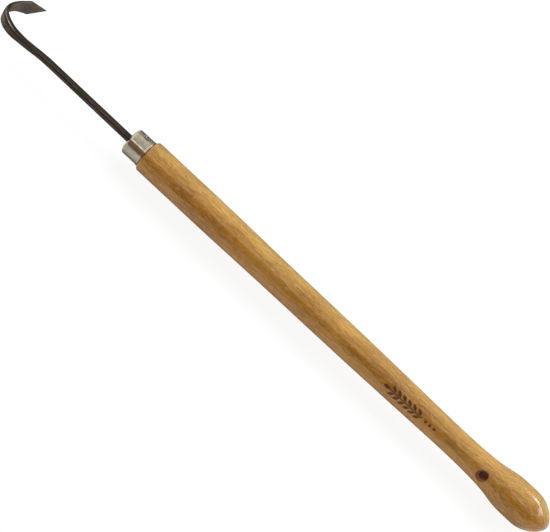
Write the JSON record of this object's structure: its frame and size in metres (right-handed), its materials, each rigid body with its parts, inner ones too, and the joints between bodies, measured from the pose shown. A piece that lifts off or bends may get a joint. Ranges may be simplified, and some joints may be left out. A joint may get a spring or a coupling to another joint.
{
  "type": "hooked joint scraper",
  "caption": "Long turned ash handle with a crimped steel ferrule and a forged round shank, bent into a hook with a small leaf-shaped pointed blade.",
  "frame": {"origin": "centre of the hanging hole, on the axis of the handle", "axes": "+X along the handle towards the blade; the hook is bent in the XY plane with its tip towards -Y; +Z is square to the plane of the hook"},
  "size_m": [0.5884, 0.0561, 0.0326],
  "materials": {
    "varnished_ash": "clear gloss varnish over ash with a fine straight grain",
    "plated_steel": "bright plated sheet steel, lightly scuffed",
    "forged_steel": "blackened and oiled forged steel, satin"
  },
  "bodies": {
    "root": {"handle": "varnished_ash", "ferrule": "plated_steel", "hook_blade": "forged_steel"}
  },
  "joints": []
}
